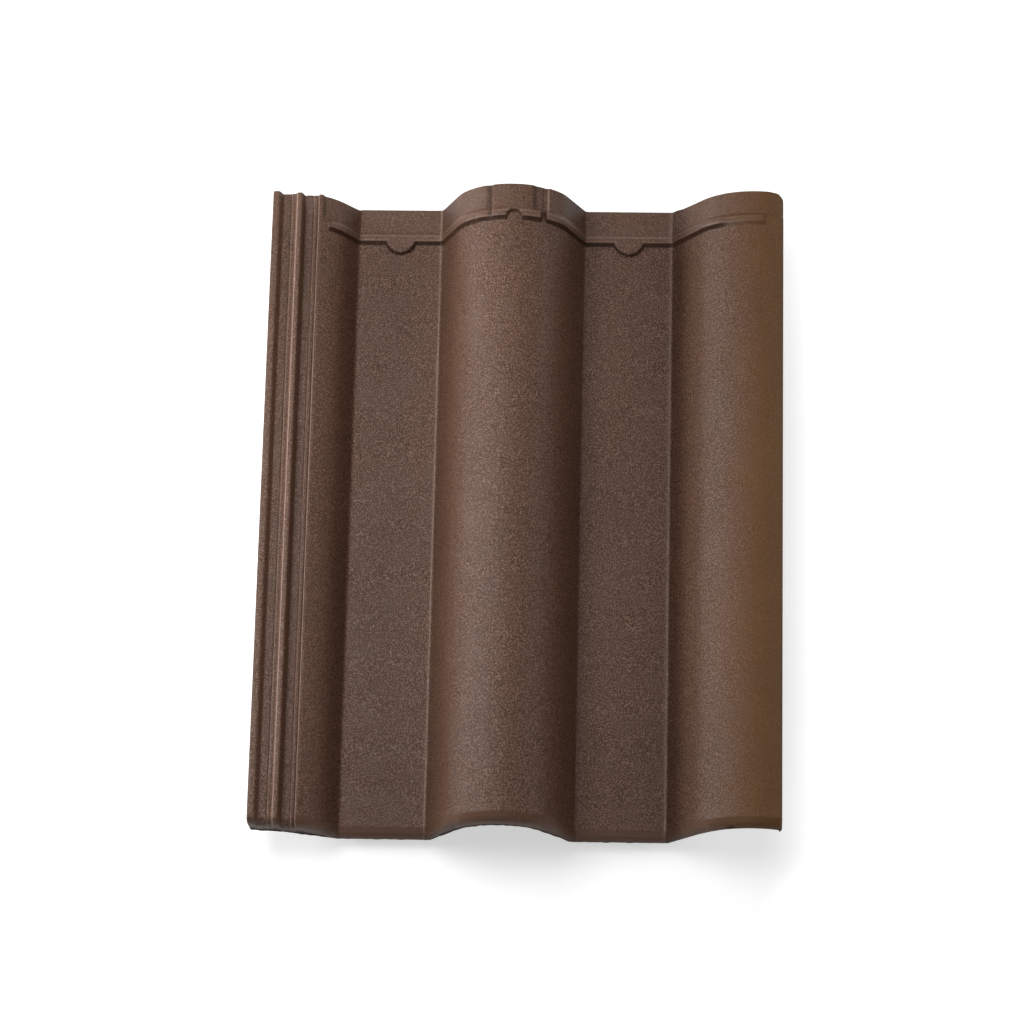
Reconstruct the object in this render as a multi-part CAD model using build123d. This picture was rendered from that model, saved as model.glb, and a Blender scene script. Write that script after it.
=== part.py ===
from build123d import *
from math import asin, atan2, cos, degrees, radians, sin, sqrt
import os

# A concrete interlocking roof tile with two rolls, pressed as one piece.
# It is drawn level in its own frame: X runs from the water lock on the left
# to the cover lap on the right, Y from the tail to the head, and Z = 0 is the
# upper face of the flat pans. At the end it is turned to stand on its soles.

# Overall sizes
length = 420.0
cover_width = 300.0
lap_width = 30.0
thickness = 12.0
head_corner_radius = 5.0

# Left half roll, which lies under the right roll of the next tile
left_crest_x = 11.7
left_half_width = 42.6
left_rise = 33.0
left_crown_radius = 40.0

# Centre roll, and how its arch underneath differs from its upper face
centre_crest_x = 155.4
centre_half_width = 46.5
centre_rise = 47.5
centre_crown_radius = 39.0
centre_crown_wall = 17.0
centre_flank_inset = 2.5
centre_radius_step = 8.0

# Right roll, which carries the cover lap past its crest
right_half_width = 52.5
right_rise = 42.0
right_crown_radius = 43.0
right_crown_wall = 11.0
right_flank_inset = -0.5
right_radius_step = 2.0

# Rounding where the rolls meet the pans, above and below
foot_fillet = 4.0
under_fillet = 6.0

# Water lock: two ribs and two stepped grooves over a sloping underside
lock_width = 29.4
lock_edge_run = 1.4
lock_edge_chamfer = 0.9
lock_edge_underside = 8.5
lock_bend_x = 17.0
lock_bend_underside = 6.0
rib_1_width = 5.0
rib_1_top = 33.8
rib_2_left = 15.0
rib_2_width = 4.4
rib_2_top = 31.8
groove_1_floor = 28.4
groove_1_step_x = 11.3
groove_2_floor = 23.4
groove_2_step_x = 25.3
groove_step = 1.1
groove_2_stop_top = 26.6
groove_2_stop_length = 12.0

# Cover lap: a hollow for the ribs of the next tile, with two tongues
lap_start_x = 290.5
lap_start_underside = 29.5
lap_clearance = 1.1
lap_side_play = 1.2
lap_edge_underside = 31.0
lap_edge_run = 5.0
lap_edge_radius = 3.0
lap_tongue_tail_stop = 26.0

# Rounded nose along the tail
nose_radius = 5.0
nose_steps = 3
lock_nose_radius = 1.5

# Head rib with a half-round lobe in each pan
rib_height = 2.4
rib_width = 6.6
rib_head_distance = 23.4
rib_left_margin = 4.6
rib_right_margin = 12.0
lobe_radius = 10.0
lobe_head_distance = 20.6

# Lowered crowns between the rib and the head, on the left half roll and the right roll
recess_depth = 2.6
recess_left_margin = 3.6

# Marks on the crest of the centre roll, between the head and the rib
crest_groove_offset = -15.5
crest_groove_width = 3.4
crest_groove_depth = 1.1
crest_channel_offset = 18.8
crest_channel_width = 7.6
crest_channel_depth = 1.8
crest_notch_offset = 1.9
crest_notch_wall = 1.0

# Hanging nibs under the pans
nib_width = 34.0
nib_depth = 15.0
nib_root_length = 20.0
nib_sole_length = 9.0
nib_head_distance = 50.0

# Weather bars under the pans at the tail
bar_depth = 4.0
bar_length = 7.0
bar_count = 2
bar_pitch = 20.0
bar_tail_distance = 6.0
bar_side_margin = 4.0

# The nibs and bars are drawn this much too deep and then cut level
sole_allowance = 1.0

# Knock-out nail pits under the lobes
pit_mouth_radius = 4.5
pit_end_radius = 2.5
pit_skin = 4.5

width = cover_width + lap_width
right_crest_x = left_crest_x + cover_width
pan_1_left = left_crest_x + left_half_width
pan_1_right = centre_crest_x - centre_half_width
pan_2_left = centre_crest_x + centre_half_width
pan_2_right = right_crest_x - right_half_width
pans = ((pan_1_left, pan_1_right), (pan_2_left, pan_2_right))
lobe_y = length - lobe_head_distance
rib_y = length - rib_head_distance
nib_y = length - nib_head_distance
ground_depth = 3 * thickness
sky = 2 * centre_rise
root_z = -thickness * 3 / 4
hair = 0.01


def roll(crest_x, half_width, rise, crown_radius):
    """Section of one roll: straight flanks that run tangent into a round crown."""
    centre_z = rise - crown_radius
    to_centre = sqrt(half_width**2 + centre_z**2)
    flank = atan2(centre_z, half_width) + asin(crown_radius / to_centre)
    run = sqrt(to_centre**2 - crown_radius**2)
    tangent_x = half_width - run * cos(flank)
    tangent_z = run * sin(flank)
    left_flank = Line((-half_width, 0), (-tangent_x, tangent_z))
    crown = ThreePointArc((-tangent_x, tangent_z), (0, rise), (tangent_x, tangent_z))
    right_flank = Line((tangent_x, tangent_z), (half_width, 0))
    ground = Polyline(
        (half_width, 0),
        (half_width, -ground_depth),
        (-half_width, -ground_depth),
        (-half_width, 0),
    )
    return Pos(crest_x, 0) * make_face(left_flank + crown + right_flank + ground)


def strip(left, right, bottom, top):
    """A plain rectangle of the section, given by its four sides."""
    return Pos((left + right) / 2, (bottom + top) / 2) * Rectangle(right - left, top - bottom)


def round_feet(region, feet, foot_z, radius):
    """Rounds the corners of a section where its rolls meet a flat."""
    corners = []
    for corner in region.vertices():
        near = min(abs(corner.X - foot) for foot in feet)
        if near < hair and abs(corner.Y - foot_z) < hair:
            corners.append(corner)
    return fillet(corners, radius)


def below_top_line():
    """Everything under the upper face, drawn wider than the tile on both sides."""
    left = left_crest_x - left_half_width - ground_depth
    right = right_crest_x + right_half_width + ground_depth
    region = strip(left, right, -ground_depth, 0)
    region += roll(left_crest_x, left_half_width, left_rise, left_crown_radius)
    region += roll(centre_crest_x, centre_half_width, centre_rise, centre_crown_radius)
    region += roll(right_crest_x, right_half_width, right_rise, right_crown_radius)
    feet = [pan_1_left, pan_1_right, pan_2_left, pan_2_right]
    return round_feet(region, feet, 0, foot_fillet)


def arch(crest_x, half_width, rise, crown_radius, inset, crown_wall, radius_step):
    """Section of the hollow under one roll, from the sizes of its upper face."""
    hollow_rise = rise - crown_wall + thickness
    shape = roll(crest_x, half_width - inset, hollow_rise, crown_radius - radius_step)
    return Pos(0, -thickness) * shape


def below_underside():
    """Everything under the tile's underside."""
    right = right_crest_x + right_half_width + ground_depth
    region = strip(-ground_depth, right, -ground_depth - thickness, -thickness)
    lock_slope = Polyline(
        (-ground_depth, lock_edge_underside),
        (0, lock_edge_underside),
        (lock_bend_x, lock_bend_underside),
        (pan_1_left, -thickness),
        (-ground_depth, -thickness),
        close=True,
    )
    region += make_face(lock_slope)
    region += arch(
        centre_crest_x, centre_half_width, centre_rise, centre_crown_radius,
        centre_flank_inset, centre_crown_wall, centre_radius_step,
    )
    region += arch(
        right_crest_x, right_half_width, right_rise, right_crown_radius,
        right_flank_inset, right_crown_wall, right_radius_step,
    )
    feet = [
        pan_1_left,
        pan_1_right + centre_flank_inset,
        pan_2_left - centre_flank_inset,
        pan_2_right + right_flank_inset,
    ]
    return round_feet(region, feet, -thickness, under_fillet)


def lock_top():
    """Height of the left half roll where the water lock begins."""
    from_crest = lock_width - left_crest_x
    return left_rise - left_crown_radius + sqrt(left_crown_radius**2 - from_crest**2)


def lock_section():
    """Section of the water lock on the left side, down to the pan level."""
    rib_2_right = rib_2_left + rib_2_width
    outline = Polyline(
        (0, -thickness),
        (0, rib_1_top - lock_edge_chamfer),
        (lock_edge_chamfer, rib_1_top),
        (rib_1_width - lock_edge_chamfer, rib_1_top),
        (rib_1_width + lock_edge_run, groove_1_floor),
        (groove_1_step_x, groove_1_floor),
        (groove_1_step_x + groove_step / 2, groove_1_floor + groove_step),
        (rib_2_left - lock_edge_run, groove_1_floor + groove_step),
        (rib_2_left, rib_2_top),
        (rib_2_left + rib_2_width - lock_edge_chamfer, rib_2_top),
        (rib_2_right + lock_edge_run, groove_2_floor),
        (groove_2_step_x, groove_2_floor),
        (groove_2_step_x + groove_step / 2, groove_2_floor + groove_step),
        (lock_width - lock_edge_run, groove_2_floor + groove_step),
        (lock_width, lock_top()),
        (lock_width, -thickness),
        close=True,
    )
    return make_face(outline)


def lap_hollow(with_tongue):
    """The part of the section that is hollowed out under the cover lap."""
    roof = rib_1_top + lap_clearance
    slope_end_x = cover_width - lap_side_play
    outline = Polyline(
        (lap_start_x, -ground_depth),
        (lap_start_x, lap_start_underside),
        (slope_end_x, roof),
        (width, roof),
        (width, -ground_depth),
        close=True,
    )
    hollow = make_face(outline)
    edge_left = cover_width + rib_2_left + rib_2_width
    edge_tongue = Polyline(
        (edge_left, roof),
        (edge_left + lap_edge_run, lap_edge_underside),
        (width, lap_edge_underside),
        (width, roof),
        close=True,
    )
    hollow -= make_face(edge_tongue)
    if with_tongue:
        tongue_left = cover_width + rib_1_width + lock_edge_run + lap_side_play
        tongue_right = cover_width + rib_2_left - lock_edge_run - lap_side_play
        tongue_underside = groove_1_floor + groove_step + lap_clearance
        hollow -= strip(tongue_left, tongue_right, tongue_underside, roof)
    return hollow


def tile_section(with_tongue):
    """The whole section of the tile, with or without the tongue under the lap."""
    section = below_top_line() & strip(lock_width - hair, width, -thickness, sky)
    section += lock_section()
    section -= below_underside()
    section -= lap_hollow(with_tongue)
    lap_corner = section.vertices().sort_by(Axis.X)[-2:].sort_by(Axis.Y)[-1]
    return fillet(lap_corner, lap_edge_radius)


def lengthwise(section, start, end):
    """Runs a section from one distance from the tail to another."""
    return Pos(0, start, 0) * extrude(Plane.XZ * section, amount=start - end)


def tile_body():
    """The shell of the tile with its lock and cover lap, along its whole length."""
    tail_part = lengthwise(tile_section(False), 0, lap_tongue_tail_stop)
    main_part = lengthwise(tile_section(True), lap_tongue_tail_stop, length)
    return tail_part + main_part


def nose_cut():
    """What the rounded nose takes off the upper edge along the tail."""
    top = below_top_line()
    sections = []
    for i in range(nose_steps + 1):
        turn = radians(90) * i / nose_steps
        drop = nose_radius * (1 - sin(turn))
        shape = offset(top, amount=-drop, kind=Kind.INTERSECTION) if i < nose_steps else top
        sections.append(Pos(0, nose_radius * (1 - cos(turn)), 0) * (Plane.XZ * shape).face())
    rounded = loft(sections, ruled=True)
    return lengthwise(strip(lock_width, width, root_z, sky), 0, nose_radius) - rounded


def lock_nose_cut():
    """What the nose takes off the ends of the two ribs of the lock."""
    radius = lock_nose_radius
    corner = Pos(radius / 2, rib_1_top) * Rectangle(radius, 2 * radius)
    corner -= Pos(radius, rib_1_top - radius) * Circle(radius)
    return extrude(Plane.YZ * corner, amount=lock_width)


def plan_block(outline):
    """An upright prism over the tile, used to cut a patch out of a skin."""
    return extrude(Pos(0, 0, root_z) * outline, amount=sky - root_z)


def plan_rectangle(left, right, tail_side, head_side):
    """A rectangle in plan, given by its four sides."""
    middle = Pos((left + right) / 2, (tail_side + head_side) / 2)
    return middle * Rectangle(right - left, head_side - tail_side)


def head_rib():
    """The rib across the head, raised from the upper face, with its two lobes."""
    top = below_top_line()
    raised = offset(top, amount=rib_height, kind=Kind.INTERSECTION)
    skin = raised - offset(top, amount=root_z / 2, kind=Kind.INTERSECTION)
    left = lock_width + rib_left_margin
    right = width - rib_right_margin
    band = plan_rectangle(left, right, rib_y, rib_y + rib_width)
    for pan_left, pan_right in pans:
        band += Pos((pan_left + pan_right) / 2, lobe_y) * Circle(lobe_radius)
    band -= Pos(centre_crest_x + crest_notch_offset, rib_y) * Circle(rib_width - crest_notch_wall)
    return lengthwise(skin, lobe_y - lobe_radius, length) & plan_block(band)


def skin_cut(depth, outline):
    """What is taken off the upper face, to a depth, over a patch in plan."""
    top = below_top_line()
    above = offset(top, amount=rib_height, kind=Kind.INTERSECTION)
    skin = above - offset(top, amount=-depth, kind=Kind.INTERSECTION)
    return lengthwise(skin, rib_y, length) & plan_block(outline)


def lowered_crown(crest_x, half_width, rise, crown_radius, left, right):
    """What is taken off a roll between the rib and the head, over a stretch of its width."""
    reach = strip(left, right, hair, sky)
    whole = roll(crest_x, half_width, rise, crown_radius) & reach
    lowered = roll(crest_x, half_width, rise - recess_depth, crown_radius)
    return lengthwise(whole - lowered, rib_y + rib_width, length)


def head_marks():
    """The two lowered crowns beside the head, and the two grooves on the centre crest."""
    start = rib_y + rib_width
    marks = [
        lowered_crown(
            left_crest_x, left_half_width, left_rise, left_crown_radius,
            lock_width + recess_left_margin, pan_1_left - foot_fillet,
        ),
        lowered_crown(
            right_crest_x, right_half_width, right_rise, right_crown_radius,
            pan_2_right + foot_fillet, width,
        ),
    ]
    for offset_x, mark_width, depth in (
        (crest_groove_offset, crest_groove_width, crest_groove_depth),
        (crest_channel_offset, crest_channel_width, crest_channel_depth),
    ):
        middle = centre_crest_x + offset_x
        mark = plan_rectangle(middle - mark_width / 2, middle + mark_width / 2, start, length)
        marks.append(skin_cut(depth, mark))
    return marks


def groove_stop():
    """Fills the second groove of the lock beside the head, with a ramp towards the tail."""
    floor = groove_2_floor - groove_step
    ramp = Polyline(
        (length - groove_2_stop_length, floor),
        (length - groove_2_stop_length / 2, groove_2_stop_top),
        (length, groove_2_stop_top),
        (length, floor),
        close=True,
    )
    left = rib_2_left + rib_2_width - lock_edge_chamfer
    return Pos(left, 0, 0) * extrude(Plane.YZ * make_face(ramp), amount=lock_width + hair - left)


def head_corner():
    """What the rounded corner of the cover lap takes off at the head."""
    side = head_corner_radius
    corner = plan_rectangle(width - side, width, length - side, length)
    corner -= Pos(width - side, length - side) * Circle(side)
    return plan_block(corner)


def nib():
    """One hanging nib, with its bearing face towards the tail at Y = 0."""
    sole = -thickness - nib_depth - sole_allowance
    side = Polyline((0, root_z), (0, sole), (nib_sole_length, sole), (nib_root_length, root_z), close=True)
    return extrude(Plane.YZ * make_face(side), amount=nib_width / 2, both=True)


def bar(left, right):
    """One weather bar under a pan, with its tail side at Y = 0."""
    sole = -thickness - bar_depth - sole_allowance
    shape = strip(left + bar_side_margin, right - bar_side_margin, sole, root_z)
    return lengthwise(shape, 0, bar_length)


def nail_pit():
    """A tapered pit that leaves a thin skin to knock out, open at the underside."""
    depth = thickness - pit_skin
    return Cone(pit_mouth_radius, pit_end_radius, depth, align=(Align.CENTER, Align.CENTER, Align.MIN))


def stand_on_soles(tile):
    """Turns the tile to stand as it lies unheld, cuts its soles level, and centres it."""
    angle = atan2(nib_depth - bar_depth, nib_y - bar_tail_distance)
    floor_z = nib_y * sin(angle) - (thickness + nib_depth) * cos(angle)
    turned = Rot(degrees(angle), 0, 0) * tile
    below = Box(2 * width, 3 * length, thickness, align=(Align.CENTER, Align.CENTER, Align.MAX))
    turned -= Pos(width / 2, length / 2, floor_z) * below
    middle = turned.bounding_box().center()
    return Pos(-middle.X, -middle.Y, -floor_z) * turned


def build_tile():
    """The whole tile, as one solid."""
    tile = tile_body() - nose_cut() - lock_nose_cut()
    tile += head_rib()
    for mark in head_marks():
        tile -= mark
    tile += groove_stop()
    tile -= head_corner()
    for pan_left, pan_right in pans:
        middle = (pan_left + pan_right) / 2
        tile += Pos(middle, nib_y, 0) * nib()
        for i in range(bar_count):
            tile += Pos(0, bar_tail_distance + i * bar_pitch, 0) * bar(pan_left, pan_right)
        tile -= Pos(middle, lobe_y, -thickness) * nail_pit()
    return stand_on_soles(tile)


os.makedirs("parts", exist_ok=True)
tile = build_tile()
export_step(tile, "parts/verge_tile.step")
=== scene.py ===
from math import asin, atan2, ceil, cos, pi, radians, sin, sqrt, tan

import bmesh
import bpy
import numpy as np
from mathutils import Matrix, Vector


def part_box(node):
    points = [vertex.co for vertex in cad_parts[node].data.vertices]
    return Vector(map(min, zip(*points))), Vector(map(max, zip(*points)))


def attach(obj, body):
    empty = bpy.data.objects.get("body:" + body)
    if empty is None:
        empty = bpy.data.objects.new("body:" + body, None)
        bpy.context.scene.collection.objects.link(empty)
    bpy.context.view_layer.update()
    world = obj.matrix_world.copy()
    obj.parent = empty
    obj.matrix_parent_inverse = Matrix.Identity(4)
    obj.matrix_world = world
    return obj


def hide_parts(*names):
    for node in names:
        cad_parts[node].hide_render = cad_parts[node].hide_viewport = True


bl_info = {
    "name": "Pressed concrete roof tile",
    "version": (1, 0, 0),
    "blender": (4, 5, 0),
    "location": "3D View > Sidebar > Roof Tile",
    "description": "Builds a coated concrete interlocking tile around its packed frame, and a pale studio",
    "category": "Object",
}

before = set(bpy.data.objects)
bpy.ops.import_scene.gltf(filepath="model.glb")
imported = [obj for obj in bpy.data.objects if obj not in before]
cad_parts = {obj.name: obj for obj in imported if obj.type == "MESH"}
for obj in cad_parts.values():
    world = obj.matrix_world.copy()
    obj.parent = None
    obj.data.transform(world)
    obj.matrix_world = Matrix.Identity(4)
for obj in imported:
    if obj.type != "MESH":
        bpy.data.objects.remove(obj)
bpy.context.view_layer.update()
NODE = "verge_tile"
BODY = "root"

# In metres: a millimetre, a distance too small to see, and half of what an upright wall leans
MM = 0.001
HAIR = 0.00002
STEEP = 0.3 * MM

# Numbers that the node tree leaves on the tile's points for the material
COATING = "coating"
SMOOTHNESS = "smoothness"
NOSE = "nose"
# The last two carry painted highlight and painted shade into the coat's colour
PAINTED_HIGHLIGHT = "edge"
PAINTED_SHADE = "shade"


# Properties

def mm(millimetres, name, description):
    """A size that is given here in millimetres and kept in metres."""
    return bpy.props.FloatProperty(
        name=name, description=description, default=millimetres * MM, min=0, unit="LENGTH", precision=5)


def place_of(millimetres, name, description):
    """A height or a place that may be below zero."""
    return bpy.props.FloatProperty(
        name=name, description=description, default=millimetres * MM, unit="LENGTH", precision=5)


def share_of(default, name, description, most=1.0):
    """A plain number from nought upwards."""
    return bpy.props.FloatProperty(
        name=name, description=description, default=default, min=0, max=most, subtype="FACTOR")


def colour_of(red, green, blue, name, description):
    """A colour, written in linear light."""
    return bpy.props.FloatVectorProperty(
        name=name, description=description, default=(red, green, blue), size=3, min=0, max=1, subtype="COLOR")


def power_of(watts, name):
    """The power of a lamp."""
    return bpy.props.FloatProperty(
        name=name, description="Light that this lamp gives", default=watts, min=0, unit="POWER")


def spot_of(metres, name):
    """Where a lamp or the camera stands."""
    return bpy.props.FloatVectorProperty(
        name=name, description="Where it stands, in metres", size=3, default=metres, unit="LENGTH")


def span_of(metres, name):
    """The two sides of a lamp."""
    return bpy.props.FloatVectorProperty(
        name=name, description="Its length and its height, in metres", size=2, default=metres, unit="LENGTH")


class RollSizes(bpy.types.PropertyGroup):
    """The rolls, the flat pans between them and the wall."""

    width: mm(330, "Width", "Across the tile, from the lock's edge to the lap's edge")
    length: mm(420, "Length", "From the tail to the head, along the pans")
    thickness: mm(12, "Thickness", "Wall in the flat pans")
    foot_radius: mm(3.0, "Foot radius", "Rounding where a roll meets a pan on the upper face")
    under_radius: mm(6, "Foot radius below", "Rounding where an arch meets the underside of a pan")
    left_crest: mm(11.7, "Left crest", "Place of the left half roll's crest across the tile")
    left_half_width: mm(42.6, "Left half width", "From the left crest to the foot of its flank")
    left_rise: mm(33, "Left rise", "Height of the left half roll over the pans")
    left_radius: mm(40, "Left crown radius", "Radius of the left half roll's crown")
    centre_crest: mm(155.4, "Centre crest", "Place of the centre roll's crest across the tile")
    centre_half_width: mm(46.5, "Centre half width", "From the centre crest to the foot of its flank")
    centre_rise: mm(47.5, "Centre rise", "Height of the centre roll over the pans")
    centre_radius: mm(39, "Centre crown radius", "Radius of the centre roll's crown")
    centre_wall: mm(17, "Centre crown wall", "Wall at the crown of the centre roll")
    centre_inset: mm(2.5, "Centre flank inset", "How far the arch's foot stands inside the roll's foot")
    centre_radius_step: mm(8, "Centre radius step", "Crown radius less the radius of the arch below it")
    right_crest: mm(311.7, "Right crest", "Place of the right roll's crest across the tile")
    right_half_width: mm(52.5, "Right half width", "From the right crest to the foot of its flank")
    right_rise: mm(42, "Right rise", "Height of the right roll over the pans")
    right_radius: mm(43, "Right crown radius", "Radius of the right roll's crown")
    right_wall: mm(11, "Right crown wall", "Wall at the crown of the right roll")
    right_inset: place_of(-0.5, "Right flank inset", "How far the arch's foot stands inside the roll's foot")
    right_radius_step: mm(2, "Right radius step", "Crown radius less the radius of the arch below it")


class LockSizes(bpy.types.PropertyGroup):
    """The water lock on the left and the cover lap on the right."""

    width: mm(29.4, "Lock width", "From the tile's left edge to the left half roll")
    edge_underside: mm(8.5, "Underside at the edge", "Height of the underside at the left edge")
    bend_place: mm(17, "Underside bend", "Where the lock's underside turns down to the pan")
    bend_height: mm(6, "Height of the bend", "Height of the underside at its bend")
    rib_1_width: mm(5.4, "First rib width", "Width of the outer rib")
    rib_1_top: mm(33.8, "First rib top", "Height of the outer rib over the pans")
    rib_2_left: mm(15, "Second rib place", "Left side of the inner rib")
    rib_2_width: mm(4.4, "Second rib width", "Width of the inner rib")
    rib_2_top: mm(31.8, "Second rib top", "Height of the inner rib over the pans")
    groove_1_floor: mm(28.4, "First groove floor", "Height of the outer groove's floor")
    groove_1_step: mm(11.3, "First groove step", "Where the outer groove's floor steps up")
    groove_2_floor: mm(23.4, "Second groove floor", "Height of the inner groove's floor")
    groove_2_step: mm(25.3, "Second groove step", "Where the inner groove's floor steps up")
    step_height: mm(1.1, "Step height", "How much each groove's floor steps up")
    side_run: mm(1.4, "Side run", "How far the side of a rib or groove leans")
    stop_top: mm(26.6, "Groove stop top", "Height of the filled end of the inner groove")
    stop_length: mm(12, "Groove stop length", "Length of the filled end, from the head")
    lap_start: mm(290.5, "Lap start", "Where the hollow under the cover lap begins")
    lap_start_height: mm(29.5, "Lap start height", "Height of the hollow's roof at its start")
    lap_slope_end: mm(298.8, "Lap slope end", "Where the hollow's roof reaches its full height")
    lap_roof: mm(34.9, "Lap roof", "Height of the hollow's roof over the lock")
    tongue_left: mm(307.6, "Tongue left", "Left side of the tongue under the lap")
    tongue_right: mm(312.4, "Tongue right", "Right side of the tongue under the lap")
    tongue_height: mm(30.6, "Tongue height", "Height of the tongue's underside")
    tongue_stop: mm(26, "Tongue start", "How far from the tail the tongue starts")
    edge_left: mm(319.4, "Edge tongue left", "Where the tongue along the lap's edge begins to slope down")
    edge_run: mm(5, "Edge tongue run", "Length of that slope")
    edge_height: mm(31, "Edge tongue height", "Height of the edge tongue's underside")
    edge_radius: mm(3, "Lap edge radius", "Rounding of the lap's outer edge")
    wall_run: mm(0.4, "Wall run", "How far an upright wall of the hollow leans")


class ReliefSizes(bpy.types.PropertyGroup):
    """What stands out of the swept faces or is sunk into them. Each is an input of the tile's node tree."""

    nose_length: mm(6.2, "Nose Length", "Length of the smooth nose along the tail")
    nose_lean: share_of(0.42, "Nose Lean", "How steeply the nose falls at its start")
    nose_radius: mm(3.6, "Nose Radius", "Rounding at the tip of the nose")
    lock_nose_radius: mm(3.2, "Lock Nose Radius", "Rounding of the lock's ribs at the tail")
    head_radius: mm(0.9, "Head Radius", "Rounding of the upper face along the head")
    lock_head_radius: mm(2, "Lock Head Radius", "Rounding of the lock's ribs at the head")
    lower_radius: mm(1.2, "Lower Radius", "Rounding of the underside along the tail and the head")
    scallop: mm(1.1, "Scallop", "How uneven the lower edge along the tail is")
    wave: mm(0.22, "Wave", "How far the pressed faces wander from true")
    rib_foot: mm(395.2, "Rib Foot", "Where the head rib's slope rises, from the tail")
    rib_slope: mm(3.6, "Rib Slope", "Length of the head rib's slope towards the tail")
    rib_back: mm(400.6, "Rib Back", "Where the head rib falls towards the head")
    rib_back_slope: mm(4.2, "Rib Back Slope", "Length of the head rib's slope towards the head")
    rib_height: mm(2.6, "Rib Height", "Height of the head rib over the face")
    head_level: mm(1.2, "Head Level", "Height of the face between the rib and the head over the rest")
    rib_left: mm(37.2, "Rib Left", "Left end of the head rib")
    rib_right: mm(318, "Rib Right", "Right end of the head rib")
    rib_fade: mm(292, "Rib Fade", "Where the head rib gets low on the right roll")
    lobe_radius: mm(8.6, "Lobe Radius", "Radius of the flat top of each half-round lobe")
    lobe_slope: mm(2.4, "Lobe Slope", "Width of the slope round each lobe")
    lobe_place: mm(399.4, "Lobe Place", "Middle of the lobes, from the tail")
    lobe_left: mm(81.6, "Left Lobe", "Middle of the left lobe across the tile")
    lobe_right: mm(230.55, "Right Lobe", "Middle of the right lobe across the tile")
    notch_place: mm(157.3, "Notch Place", "Middle of the crest notch across the tile")
    notch_radius: mm(5, "Notch Radius", "Radius of the arch-shaped notch in the head rib")
    recess_depth: mm(2.6, "Recess Depth", "How much the left and right crowns are lowered beside the head")
    recess_left: mm(33, "Recess Left", "Left side of the recess on the left half roll")
    groove_left: mm(138.3, "Groove Left", "Where the groove on the crest begins")
    groove_floor: mm(142.1, "Groove Floor", "Where that groove is deepest")
    groove_right: mm(143.6, "Groove Right", "Where that groove ends")
    groove_depth: mm(1.0, "Groove Depth", "Depth of the groove on the crest")
    channel_left: mm(171.2, "Channel Left", "Left side of the channel's floor on the crest")
    channel_right: mm(177.4, "Channel Right", "Right side of the channel's floor on the crest")
    channel_depth: mm(1.2, "Channel Depth", "Depth of the channel on the crest")
    channel_slope: mm(2.2, "Channel Slope", "Width of each side of the channel")
    gap_left: mm(175.0, "Gap Left", "Left side of the gap that the channel makes in the rib")
    gap_depth: mm(0.3, "Gap Depth", "How far the channel's floor steps down at the gap")
    nib_place: mm(370, "Nib Place", "Bearing face of the hanging nibs, from the tail")
    nib_depth: mm(16, "Nib Depth", "Height of the hanging nibs before the floor cuts them level")
    nib_half_width: mm(17, "Nib Half Width", "Half the width of a hanging nib")
    nib_sole: mm(9, "Nib Sole", "Length of a nib's sole")
    nib_root: mm(20, "Nib Root", "Length of a nib at its root")
    bar_depth: mm(5, "Bar Depth", "Height of the weather bars before the floor cuts them level")
    bar_length: mm(7, "Bar Length", "Length of a weather bar")
    bar_place: mm(6, "Bar Place", "First weather bar, from the tail")
    bar_pitch: mm(20, "Bar Pitch", "From one weather bar to the next")
    bar_margin: mm(4, "Bar Margin", "From the end of a bar to the foot of the roll")
    corner_radius: mm(5, "Head Corner", "Rounded corner of the lap at the head")
    tail_corner_radius: mm(1.4, "Tail Corner", "Rounded corners at the tail")


class PitSizes(bpy.types.PropertyGroup):
    """The tapered nail pits in the underside."""

    mouth_radius: mm(4.5, "Mouth radius", "Radius of a pit at the underside")
    end_radius: mm(2.5, "End radius", "Radius of a pit at its end")
    skin: mm(4.5, "Skin", "Concrete that is left over a pit, to knock out")
    sides: bpy.props.IntProperty(name="Sides", description="Flat sides that make a pit round", default=40, min=8)


class MeshSizes(bpy.types.PropertyGroup):
    """How finely the tile's faces are divided."""

    across: mm(2.3, "Across", "Widest step across the tile")
    along: mm(8.0, "Along", "Widest step along the tile")
    fine: mm(0.8, "Fine", "Step where the rib, its lobes and the crest marks are")
    arc: bpy.props.FloatProperty(
        name="Arc step", description="Widest turn between two points of a rounding",
        default=radians(18), min=radians(2), subtype="ANGLE")
    # Sharp edges that face left get a painted highlight, the most at this sharpness or sharper
    highlight_radius: mm(1.2, "Worn radius", "Edges as sharp as this or sharper are the palest")
    layers: bpy.props.IntProperty(name="Layers", description="Rows of points through the wall", default=5, min=2)
    seed: bpy.props.IntProperty(name="Seed", description="Fixes the unevenness of the faces", default=7)


class FinishValues(bpy.types.PropertyGroup):
    """The coated face, the bare underside, and the grain of both."""

    coat: colour_of(0.184, 0.088, 0.049, "Coat", "Dark brown coating of the upper face")
    coat_deep: colour_of(0.046, 0.019, 0.009, "Coat in hollows", "The coating in the pits of its grain")
    coat_warm: colour_of(0.152, 0.073, 0.026, "Warm coat", "The coating where it is thin, along the cover lap")
    # Painted highlight: the colour put on edges that face the left lamps, on the rib's top edges and at each pan's
    # end
    coat_highlight: colour_of(0.340, 0.220, 0.170, "Coat on edges", "The coating where it is worn pale on an edge")
    bare: colour_of(0.150, 0.104, 0.080, "Bare concrete", "The pigmented concrete of the underside")
    bare_deep: colour_of(0.085, 0.058, 0.044, "Bare concrete in hollows", "The underside in the pits of its grain")
    roughness: share_of(0.42, "Roughness", "How dull the coating is")
    bare_roughness: share_of(0.85, "Bare roughness", "How dull the underside is")
    grain_size: mm(0.85, "Grain size", "Width of one bump of the pebbled skin")
    grain_height: mm(0.22, "Grain height", "Height of the pebbled skin")


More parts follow.
